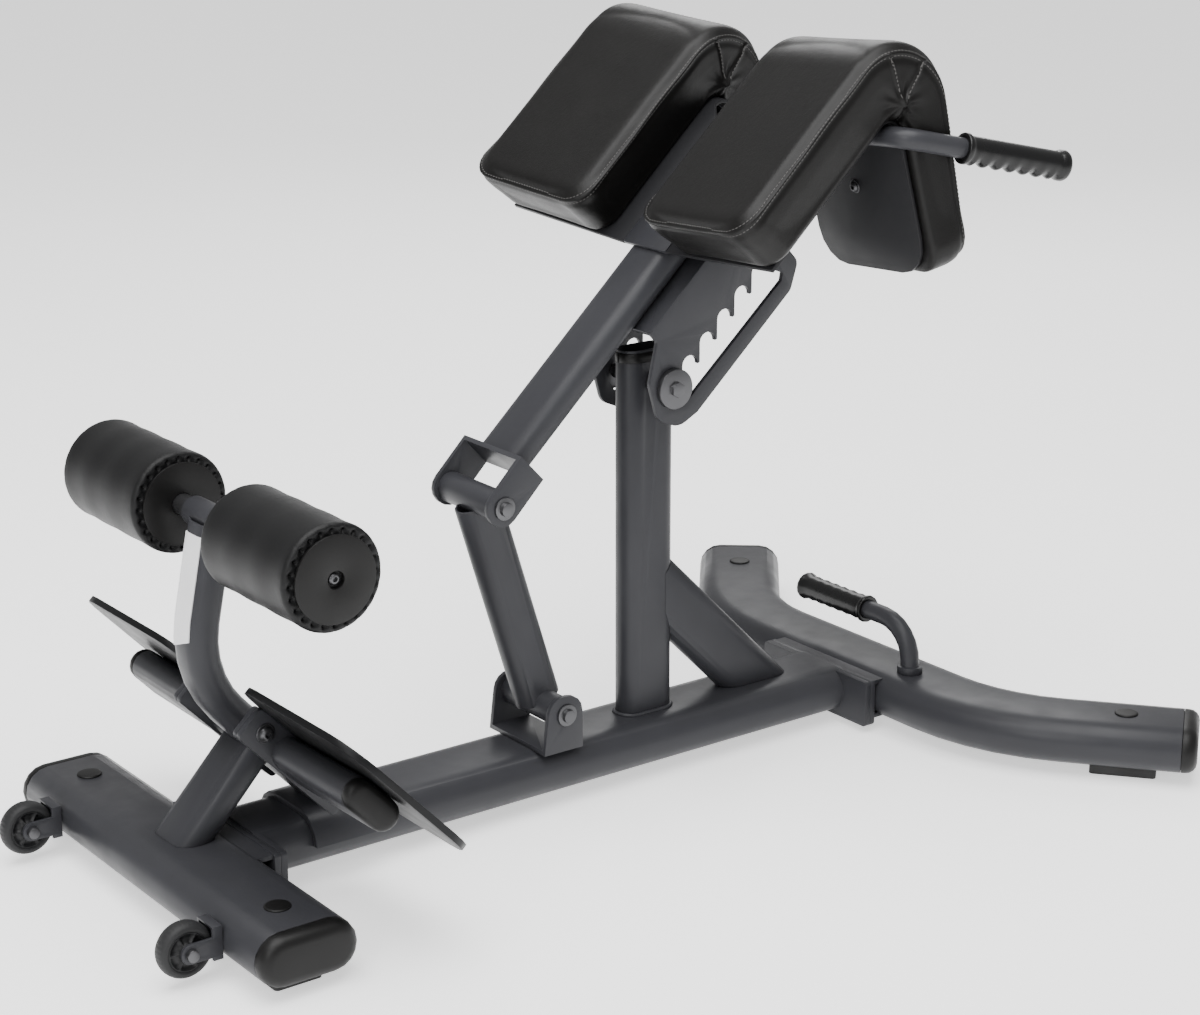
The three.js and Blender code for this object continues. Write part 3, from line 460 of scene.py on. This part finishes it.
def averaged(values, edges, rounds):
    """Each value moved towards the mean of its neighbours, several times."""
    count = np.zeros(len(values))
    np.add.at(count, edges.ravel(), 1)
    for _ in range(rounds):
        total = np.zeros_like(values)
        np.add.at(total, edges[:, 0], values[edges[:, 1]])
        np.add.at(total, edges[:, 1], values[edges[:, 0]])
        values = values * 0.3 + 0.7 * total / np.maximum(count, 1)[:, None]
    return values


def swell(obj, seated):
    """Inflates the cushion as cloth, keeping only the broad swelling, capped."""
    start, _ = arrays(obj.data)
    pins = obj.vertex_groups.new(name="seated")
    pins.add([int(i) for i in np.nonzero(seated)[0]], 1.0, "REPLACE")
    cloth = obj.modifiers.new("cloth", "CLOTH")
    cloth.settings.use_pressure = True
    cloth.settings.uniform_pressure_force = PRESSURE
    cloth.settings.vertex_group_mass = "seated"
    cloth.settings.effector_weights.gravity = 0
    cloth.settings.bending_stiffness = BENDING
    cloth.settings.quality = 4
    for number in range(1, CLOTH_FRAMES + 1):
        bpy.context.scene.frame_set(number)
    baked(obj)
    bpy.context.scene.frame_set(1)
    end, _ = arrays(obj.data)
    pairs = np.empty(len(obj.data.edges) * 2, int)
    obj.data.edges.foreach_get("vertices", pairs)
    move = averaged(end - start, pairs.reshape(-1, 2), SMOOTH_ROUNDS)
    size = np.linalg.norm(move, axis=1, keepdims=True)
    write(obj.data, start + move * np.minimum(1, SWELL_CAP / np.maximum(size, 1e-9)))
    obj.vertex_groups.clear()


def segment_distance(points, a, b):
    span = b - a
    share = np.clip(((points - a) @ span) / (span @ span), 0, 1)
    return np.linalg.norm(points - a - share[:, None] * span, axis=1), share


BEND_RUN = (RUN[STATIONS], RUN[2 * STATIONS])
PINCH = np.array([BEND_RUN[0] + (BEND_RUN[1] - BEND_RUN[0]) * PINCH_SHARE, PINCH_HEIGHT])
DARTS = [np.array([BEND_RUN[0] + (BEND_RUN[1] - BEND_RUN[0]) * share, SEAM_HEIGHT])
         for share in DART_SHARES]


def in_plane(pairs):
    """Flat (run, height) points in the wing's XZ plane."""
    low = np.stack([np.interp(pairs[:, 0], RUN, LOW[:, k]) for k in (0, 1)], axis=1)
    high = np.stack([np.interp(pairs[:, 0], RUN, HIGH[:, k]) for k in (0, 1)], axis=1)
    return low + (high - low) * (pairs[:, 1:2] / PAD_THICK)


def cushion(name, sign):
    """One side's stuffed cushion: bent, swollen by a cloth run, then seamed."""
    obj = flat_block()
    obj.name = obj.data.name = name
    flat, _ = arrays(obj.data)
    obj.data.attributes.new("flat", "FLOAT_VECTOR", "POINT").data.foreach_set(
        "vector", flat.astype(np.float32).ravel())
    write(obj.data, bent(flat, sign))
    if sign < 0:
        obj.data.flip_normals()
    lift = np.clip((flat[:, 2] - 0.012) / 0.03, 0, 1)[:, None]
    co, normal = arrays(obj.data)
    write(obj.data, co - normal * START_SHRINK * lift)
    swell(obj, flat[:, 2] < 0.006)
    fine = obj.modifiers.new("fine", "SUBSURF")
    fine.levels = fine.render_levels = 1
    baked(obj)
    seam(obj)
    obj.data.polygons.foreach_set("use_smooth", [True] * len(obj.data.polygons))
    return obj


def seam(obj):
    """Presses the crown seam, the two darts and their pinch into the cushion."""
    co, normal = arrays(obj.data)
    flat = np.empty(len(co) * 3)
    obj.data.attributes["flat"].data.foreach_get("vector", flat)
    flat = flat.reshape(-1, 3)
    side = np.clip((np.abs(flat[:, 1]) - PAD_WIDTH / 2 + 0.024) / 0.010, 0, 1)
    off_seam = np.abs(flat[:, 2] - SEAM_HEIGHT)
    groove = 0.0024 * np.exp(-((off_seam / 0.0018) ** 2))
    puff = 0.0009 * np.exp(-(((off_seam - 0.0062) / 0.0034) ** 2))
    plane = in_plane(flat[:, [0, 2]])
    pinch = in_plane(PINCH[None])[0]
    dart = np.zeros(len(co))
    for top in DARTS:
        off, share = segment_distance(plane, pinch, in_plane(top[None])[0])
        dart = np.maximum(dart, 0.0022 * np.exp(-((off / 0.0019) ** 2)))
        dart -= 0.0006 * np.exp(-(((off - 0.006) / 0.004) ** 2)) * (1 - share * 0.5)
    reach = np.linalg.norm(plane - pinch, axis=1)
    spokes = np.arctan2(plane[:, 1] - pinch[1], plane[:, 0] - pinch[0])
    fold = 0.0008 * np.sin(spokes * 9 + 0.6) * np.exp(-(((reach - 0.018) / 0.014) ** 2))
    hollow = 0.0085 * np.exp(-((reach / 0.010) ** 2)) + 0.0022 * np.exp(-((reach / 0.028) ** 2))
    inward = groove - puff + (dart + fold + hollow) * side
    write(obj.data, co - normal * inward[:, None])


def seam_path(height, sign):
    """The seam's closed path round the cushion at that height, before it is laid on the skin."""
    inset = 0.0
    if height > PAD_THICK - PAD_EDGE:
        rise = (height - (PAD_THICK - PAD_EDGE)) / PAD_EDGE
        inset = PAD_EDGE * (1 - math.sqrt(max(0, 1 - rise * rise)))
    length, width = CROWN - 2 * inset, PAD_WIDTH - 2 * inset
    loop = stadium(length, width, 10, CORNER_ROUND - inset * 0.6)
    loop = resample([Vector((x + CROWN / 2, y, height)) for x, y in loop], 0.004)
    return [Vector(p) for p in bent(np.array([tuple(p) for p in loop]), sign)]


def dart_path(top, edge, offset, sign):
    """One stitch line beside a dart, on the inner or outer side of the cushion."""
    a, b = in_plane(PINCH[None])[0], in_plane(top[None])[0]
    along = (b - a) / np.linalg.norm(b - a)
    off = np.array([-along[1], along[0]]) * offset
    out = []
    for share in (0.2, 0.4, 0.6, 0.8, 0.97):
        p = a + (b - a) * share + off * (0.5 + 0.5 * share)
        out.append(wing(sign) @ Vector((p[0], sign * PAD_WIDTH / 2 + edge * PAD_WIDTH / 2, p[1])))
    return out


STITCH_PITCH, STITCH_LENGTH, STITCH_WIDTH = 0.0050, 0.0036, 0.00078
CROWN_ROWS, DART_ROWS = (0.0034, -0.0042), (0.0028, -0.0028)


def stitches(name, skin, paths, body):
    """A row of short threads along each path, laid on the skin mesh."""
    tree = BVHTree.FromPolygons([v.co for v in skin.data.vertices],
                                [p.vertices[:] for p in skin.data.polygons])
    points, faces = [], []
    for path, closed in paths:
        line = resample(path, STITCH_PITCH, closed)
        for i in range(len(line) - 1):
            along = (line[i + 1] - line[i]).normalized()
            rings = []
            for share, swell_by, sink in ((-0.5, 0.35, -0.0004), (-0.25, 0.95, 0.00015),
                                          (0.25, 0.95, 0.00015), (0.5, 0.35, -0.0004)):
                hit, normal, _, _ = tree.find_nearest(line[i] + along * STITCH_LENGTH * share)
                across = along.cross(normal).normalized()
                ring = []
                for j in range(6):
                    angle = TAU * j / 6
                    thick = STITCH_WIDTH * swell_by
                    ring.append(hit + normal * (sink + math.sin(angle) * thick)
                                + across * math.cos(angle) * thick)
                rings.append(ring)
            more, extra = loft(rings)
            shift = len(points)
            points += more
            faces += [tuple(v + shift for v in face) for face in extra]
    return piece(name, points, faces, THREAD, body)


def mirrored(obj, name):
    """A copy of obj on the other side of the XZ plane."""
    mesh = obj.data.copy()
    co, _ = arrays(mesh)
    write(mesh, co * np.array([1, -1, 1]))
    mesh.flip_normals()
    made = bpy.data.objects.new(name, mesh)
    bpy.context.scene.collection.objects.link(made)
    return made


right_pad = cushion("cushion_right", -1)
left_pad = mirrored(right_pad, "cushion_left")
for skin, (side, sign) in zip((right_pad, left_pad), SIDES):
    dress(skin, LEATHER, "arm", "pad_" + side)
    rows = [(seam_path(SEAM_HEIGHT + rise, sign), True) for rise in CROWN_ROWS]
    for top in DARTS:
        for edge in (1, -1):
            for offset in DART_ROWS:
                rows.append((dart_path(top, edge, offset, sign), False))
    stitches("stitches_" + side, skin, rows, "arm")

# ---- Rollers ----
PLEATS = 24
SHOULDER, DENT = 0.008, 0.0007
BAND_AT, BAND_WIDTH = 0.865, 0.055  # shares of the radius


def roller(side, sign):
    """A foam roller's cover, gathered in pleats round its end discs."""
    low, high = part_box("roller_" + side)
    centre = (low + high) / 2
    radius = (high.z - low.z) / 2
    half = (high.y - low.y) / 2
    profile = []
    for i in range(7):
        profile.append((radius * (0.55 + 0.045 * i), -half + 0.0015))
    for i in range(9):
        angle = math.pi / 2 * i / 8
        profile.append((radius - SHOULDER + SHOULDER * math.sin(angle),
                        -half + SHOULDER - SHOULDER * math.cos(angle)))
    bulge = []
    for i in range(1, 24):
        share = i / 24
        bulge.append((radius - DENT * math.sin(share * 9.0) ** 2,
                      -half + SHOULDER + (2 * half - 2 * SHOULDER) * share))
    profile = profile + bulge + [(r, -h) for r, h in reversed(profile)]

    def pleat(index, angle, r, h):
        wave = abs(math.sin(angle * PLEATS / 2))
        crease = 1 - wave ** 0.55
        near = max(0.0, min(1.0, (abs(h) - half + SHOULDER) / SHOULDER))
        band = math.exp(-(((r - radius * BAND_AT) / (radius * BAND_WIDTH)) ** 2))
        deep = near * band * (0.0058 * crease + 0.0012)
        return r - DENT * crease * near, h - math.copysign(deep, h)

    rings = lathe(centre, Y * sign, profile, PLEATS * 12, pleat)
    points, faces = loft(rings)
    obj = piece("roller_cover_" + side, points, faces, FINE_LEATHER, "roller_" + side,
                "roller_" + side)


for side, sign in SIDES:
    roller(side, sign)
    low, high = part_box("roller_axle")
    end = high.y if sign > 0 else low.y
    core = centre_of("roller_core_" + side)
    bolt("axle_screw_" + side, (core.x, end + sign * 0.0002, core.z), (0, sign, 0), 0.0070, 0.0050,
         "base", washer=0.0092)


# ---- Grips ----
def long_axis(node):
    """Both ends of a long node's middle line."""
    co, _ = arrays(frame["nodes"][node].data)
    middle = co.mean(0)
    _, _, directions = np.linalg.svd(co - middle, full_matrices=False)
    along = directions[0]
    reach = (co - middle) @ along
    cross = co - middle - reach[:, None] * along
    middle = middle + (cross.max(0) + cross.min(0)) / 2
    return Vector(middle + along * reach.min()), Vector(middle + along * reach.max())


GRIP_RADIUS, GRIP_LOBES = 0.0163, 6


def hand_grip(name, node, body, inner_near):
    """A handle grip with finger lobes underneath and a collar at each end."""
    a, b = long_axis(node)
    if (b - inner_near).length < (a - inner_near).length:
        a, b = b, a
    axis = (b - a).normalized()
    length = (b - a).length
    profile = [(0.0130, 0.0005), (0.0180, 0.0), (0.0187, 0.0015), (0.0187, 0.0050),
               (0.0175, 0.0070)]
    steps = 56
    for i in range(steps + 1):
        profile.append((GRIP_RADIUS, 0.009 + (length - 0.024) * i / steps))
    profile += [(GRIP_RADIUS + 0.0010, length - 0.0125), (0.0186, length - 0.0095),
                (0.0188, length - 0.0040), (0.0176, length - 0.0012), (0.0150, length),
                (0.0060, length)]
    side, up = basis(axis)
    first, last = 0.012, length - 0.020

    def lobe(index, angle, r, h):
        spoke = side * math.cos(angle) + up * math.sin(angle)
        under = max(0.0, -spoke.z) ** 1.5
        share = (h - first) / (last - first)
        if not 0 < share < 1:
            return r, h
        wave = 0.5 - 0.5 * math.cos(TAU * share * GRIP_LOBES)
        return r + under * (0.0028 - 0.0050 * wave), h

    rings = lathe(a, axis, profile, 40, lobe)
    points, faces = loft(rings)
    piece(name, points, faces, GRIP, body, node)


for side, sign in SIDES:
    near = centre_of("pad_support_" + side)
    hand_grip("finger_grip_" + side, "handle_grip_" + side, "arm", near)


# ---- Transport wheels ----
def wheel(side):
    """A transport wheel: a treaded tyre on a ribbed hub."""
    low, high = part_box("wheel_" + side)
    centre = (low + high) / 2
    r, half = (high.z - low.z) / 2, (high.y - low.y) / 2
    tyre = [(r * 0.70, -half + 0.0025), (r * 0.76, -half + 0.0008), (r * 0.88, -half + 0.0012)]
    for i in range(9):
        angle = math.radians(-70 + 140 * i / 8)
        tyre.append((r - 0.004 + 0.004 * math.cos(angle), (half - 0.003) * math.sin(angle) / 0.94))
    tyre += [(q, -h) for q, h in reversed(tyre[:3])]
    tyre.append(tyre[0])

    def tread(index, angle, q, h):
        return (q - 0.0004, h) if q > r * 0.97 and math.sin(angle * 36) > 0.75 else (q, h)

    rings = lathe(centre, Y, tyre, 144, tread)
    points, faces = loft(rings, closed_ends=False)
    body = "wheel_" + side
    piece("tyre_" + side, points, faces, TYRE, body, "wheel_" + side)
    hub = [(0.0046, -half + 0.0005), (0.0090, -half + 0.0005), (0.0098, -half + 0.0015),
           (0.0104, -half + 0.0055), (r * 0.60, -half + 0.0060), (r * 0.66, -half + 0.0022),
           (r * 0.70, -half + 0.0022)]
    hub += [(q, -h) for q, h in reversed(hub)] + [hub[0]]

    def spoke(index, angle, q, h):
        rib = max(0.0, math.cos(angle * 6)) ** 3
        if 0.0100 < q < r * 0.62:
            return q, h + math.copysign(0.0030 * rib, h)
        return q, h

    rings = lathe(centre, Y, hub, 120, spoke)
    points, faces = loft(rings, closed_ends=False)
    piece("hub_" + side, points, faces, HUB, body)


for side, _ in SIDES:
    wheel(side)


# ---- Small fittings ----
PLUG_RADIUS, PLUG_RISE, REAR_PLUG_OUT = 0.0150, 0.0022, 0.226


def plug(name, x, y, z):
    """A low plastic plug in the top of a crossbar."""
    profile = [(PLUG_RADIUS, -0.0005), (PLUG_RADIUS, PLUG_RISE * 0.4),
               (PLUG_RADIUS * 0.95, PLUG_RISE * 0.8), (PLUG_RADIUS * 0.82, PLUG_RISE),
               (PLUG_RADIUS * 0.2, PLUG_RISE)]
    points, faces = loft(lathe(Vector((x, y, z)), Z, profile, 48))
    piece(name, points, faces, PLASTIC, "base")


bar_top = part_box("rear_crossbar")[1].z
rear_x = centre_of("rear_crossbar").x
for side, sign in SIDES:
    plug("rear_plug_" + side, rear_x, sign * REAR_PLUG_OUT, bar_top)
    foot = centre_of("front_foot_" + side)
    plug("front_plug_" + side, foot.x, foot.y, bar_top)

column_low, column_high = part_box("column")
column_mid = (column_low + column_high) / 2
band_w, band_d = column_high.x - column_low.x, column_high.y - column_low.y


def ring_at(grow, z):
    """The column's outline, wider by grow, at height z."""
    return [Vector((column_mid.x + px, column_mid.y + py, z))
            for px, py in stadium(band_w + grow, band_d + grow, 10)]


def column_band():
    """The band round the column just under its mouth."""
    low, high, proud = column_high.z - 0.016, column_high.z - 0.003, 0.0007
    rings = [ring_at(-0.001, low), ring_at(2 * proud, low + 0.0004),
             ring_at(2 * proud, high - 0.0004), ring_at(-0.001, high)]
    rings.append(rings[0])
    points, faces = loft(rings, closed_ends=False)
    piece("column_band", points, faces, PLASTIC, "base")


column_band()
weld("weld_column", ring_at(0.002, bar_top + 0.001), "base", 0.0032)

# ---- Name plate, left plain, on the rear face of the roller post ----
sleeve = centre_of("axle_sleeve")
POST_PLATE_HALF, POST_PLATE_LOW, POST_PLATE_HIGH, POST_PLATE_SLANT = 0.0175, 0.298, 0.428, 0.012
PLATE_ROWS, PLATE_COLUMNS = 14, 8


def name_plate():
    """A thin blank sheet laid on the rear face of the roller post."""
    post = frame["nodes"]["roller_post"]
    tree = BVHTree.FromPolygons([post.matrix_world @ v.co for v in post.data.vertices],
                                [p.vertices[:] for p in post.data.polygons])
    points, faces = [], []
    for height in (-0.0004, 0.0012):
        for i in range(PLATE_ROWS + 1):
            for j in range(PLATE_COLUMNS + 1):
                share = j / PLATE_COLUMNS
                across = POST_PLATE_HALF * (2 * share - 1)
                low = POST_PLATE_LOW + POST_PLATE_SLANT * (1 - share)
                z = low + (POST_PLATE_HIGH - low) * i / PLATE_ROWS
                hit, normal, _, _ = tree.ray_cast(Vector((-0.75, across, z)), X)
                points.append(hit + normal * height)
    wide = PLATE_COLUMNS + 1
    layer = wide * (PLATE_ROWS + 1)
    for i in range(PLATE_ROWS):
        for j in range(PLATE_COLUMNS):
            a = i * wide + j
            faces.append((a, a + wide, a + wide + 1, a + 1))
            faces.append(tuple(layer + v for v in (a, a + 1, a + wide + 1, a + wide)))
    rim = list(range(wide)) + [wide * (i + 1) + wide - 1 for i in range(PLATE_ROWS)]
    rim += [layer - 1 - j for j in range(1, wide)]
    rim += [wide * i for i in range(PLATE_ROWS - 1, 0, -1)]
    for j, v in enumerate(rim):
        after = rim[(j + 1) % len(rim)]
        faces.append((v, after, after + layer, v + layer))
    plate = piece("plain_plate", points, faces, BADGE, "base")
    plate.data.shade_flat()


name_plate()

# ---- Bolts on the frame's flanges, the sleeve's set screw and the flaps' screws ----
FLANGE_BOLT_OUT, FLANGE_BOLT_UP = 0.082, 0.040
BIG_BOLT = {"radius": 0.0085, "height": 0.0055, "washer": 0.0115}
rear_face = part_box("rear_bracket")[1].x
front_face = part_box("front_bracket")[0].x
for side, sign in SIDES:
    out = sign * FLANGE_BOLT_OUT
    bolt("rear_flange_bolt_" + side, (rear_face, out, FLANGE_BOLT_UP), X, body="base", **BIG_BOLT)
    bolt("front_flange_bolt_" + side, (front_face, out, FLANGE_BOLT_UP), -X, body="base",
         **BIG_BOLT)

STEP_TILT, BOLT_ALONG, BOLT_UP, BOLT_OUT = math.radians(46.5), -0.100, 0.1975, 0.0786
for side, sign in SIDES:
    at_x = BOLT_ALONG * math.cos(STEP_TILT) + BOLT_UP * math.sin(STEP_TILT)
    at_z = -BOLT_ALONG * math.sin(STEP_TILT) + BOLT_UP * math.cos(STEP_TILT)
    bolt("step_bolt_" + side, (rear_x + at_x, sign * BOLT_OUT, at_z), Y * sign, 0.0085, 0.0060,
         "base", washer=0.0115)

sleeve_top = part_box("axle_sleeve")[1].z
bolt("sleeve_set_screw", (sleeve.x, sleeve.y - 0.018, sleeve_top - 0.0006), Z, 0.0058, 0.0075,
     "base", washer=0.0075)

FLAP_SCREW_ALONG, FLAP_SCREW_OUT, PLATE_BACK = 0.108, 0.096, 0.0056
flap_at = np.array([PLATE_CORNER, 0.0]) + heading(PLATE_TURN) * FLAP_SCREW_ALONG
for side, sign in SIDES:
    to_row = wing(sign)
    back = Vector((math.sin(PLATE_TURN), 0, -math.cos(PLATE_TURN)))
    spot = Vector((flap_at[0], sign * FLAP_SCREW_OUT, flap_at[1])) + back * PLATE_BACK
    bolt("flap_screw_" + side, to_row @ spot, to_row.to_3x3() @ back, 0.0062, 0.0038, "arm",
         washer=0.0085)

# ---- Floor, light and camera ----
FLOOR_GLOW, WORLD_GLOW = 0.9, 0.55


def floor():
    """A wide pale sheet that glows a little, so that it stays even."""
    reach, steps = 30.0, 24
    points, faces = [], []
    for i in range(steps + 1):
        for j in range(steps + 1):
            points.append((reach * (i / steps - 0.5) * 2, reach * (j / steps - 0.5) * 2, 0))
    for i in range(steps):
        for j in range(steps):
            a = i * (steps + 1) + j
            faces.append((a, a + steps + 1, a + steps + 2, a + 1))
    look = surface("pale_floor", (0.86, 0.86, 0.86), (0.6, 0.7), [(NOISE, 40, 0.01, 0.0005)],
                   spread=0.005, patch=0.4)
    shader = look.node_tree.nodes["Principled BSDF"]
    shader.inputs["Emission Color"].default_value = (1, 1, 1, 1)
    shader.inputs["Emission Strength"].default_value = FLOOR_GLOW
    mesh = bpy.data.meshes.new("floor")
    mesh.from_pydata(points, [], faces)
    obj = bpy.data.objects.new("floor", mesh)
    obj.data.materials.append(look)
    bpy.context.scene.collection.objects.link(obj)


def area_light(name, at, target, size, power):
    """A rectangular light at a place, turned to its target."""
    data = bpy.data.lights.new(name, "AREA")
    data.shape = "RECTANGLE"
    data.size, data.size_y = size
    data.energy = power
    obj = bpy.data.objects.new(name, data)
    obj.location = at
    obj.rotation_mode = "QUATERNION"
    obj.rotation_quaternion = (Vector(target) - Vector(at)).to_track_quat("-Z", "Y")
    bpy.context.scene.collection.objects.link(obj)


floor()
world = bpy.data.worlds.new("studio")
bpy.context.scene.world = world
world.use_nodes = True
world.node_tree.nodes["Background"].inputs["Color"].default_value = (1, 1, 1, 1)
world.node_tree.nodes["Background"].inputs["Strength"].default_value = WORLD_GLOW
area_light("key", (-0.8, -0.6, 4.2), (0, 0, 0.3), (4.0, 4.0), 330)
area_light("fill", (-3.2, -2.2, 2.2), (0, 0, 0.5), (1.2, 1.8), 60)
area_light("rim", (2.6, 2.4, 2.6), (0, 0, 0.5), (2.0, 2.0), 50)

camera_data = bpy.data.cameras.new("camera")
camera_data.lens = 77.57
camera_data.sensor_width = 36
camera_data.shift_x = -0.01043
camera_data.shift_y = -0.00497
camera_data.clip_start, camera_data.clip_end = 0.1, 200
camera = bpy.data.objects.new("camera", camera_data)
camera.location = (-1.78295, -2.45788, 1.29594)
camera.rotation_mode = "QUATERNION"
camera.rotation_quaternion = Vector((0.5737, 0.7654, -0.2914)).to_track_quat("-Z", "Y")
bpy.context.scene.collection.objects.link(camera)
bpy.context.scene.camera = camera
